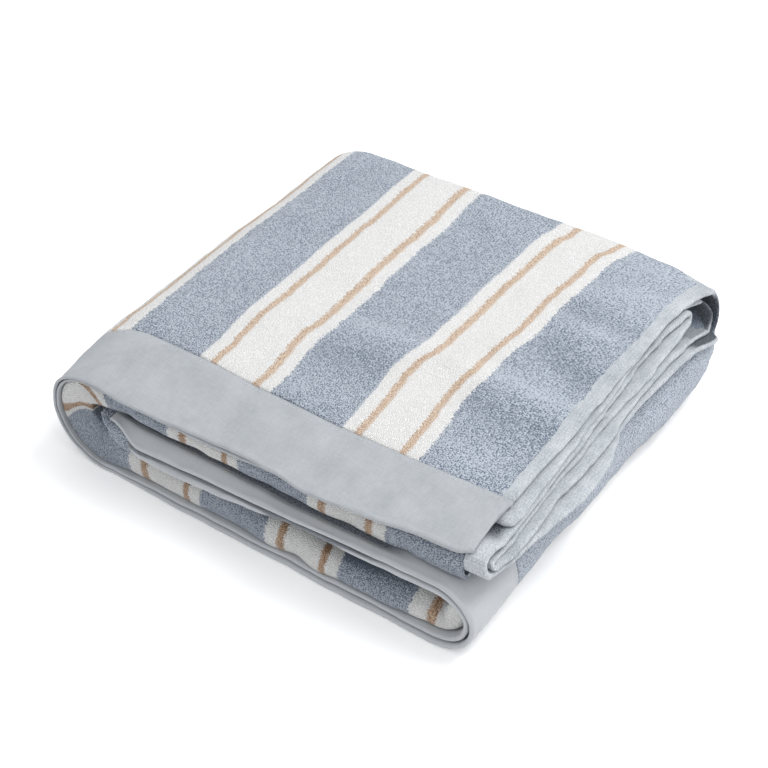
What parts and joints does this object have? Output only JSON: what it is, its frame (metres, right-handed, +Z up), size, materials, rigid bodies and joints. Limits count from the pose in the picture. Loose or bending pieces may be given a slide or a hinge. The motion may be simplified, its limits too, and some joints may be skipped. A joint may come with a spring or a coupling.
{
  "type": "folded beach towel",
  "caption": "Striped terry beach towel folded into a flat stack, with woven end borders and side hems, resting on its underside.",
  "frame": {"origin": "middle of the folded towel's outline in plan, on the surface it rests on", "axes": "+X along the front edge towards the free edges of the top packet, +Y from the woven border to the folded back, +Z up"},
  "size_m": [0.32, 0.311, 0.0814],
  "materials": {
    "terry_outer": "cotton terry loops, slate blue with white bands and thin tan lines",
    "terry_inner": "cotton terry loops, the same stripes on the folded inner plies",
    "woven_border": "flat plain weave, pale grey blue, matte",
    "side_hem": "flat ribbed weave, turned and stitched, pale grey blue"
  },
  "bodies": {
    "root": {"terry_outer_ply": "terry_outer", "terry_inner_layers": "terry_inner", "end_border_a": "woven_border", "end_border_b": "woven_border", "side_hem_right": "side_hem", "side_hem_left": "side_hem"}
  },
  "joints": []
}
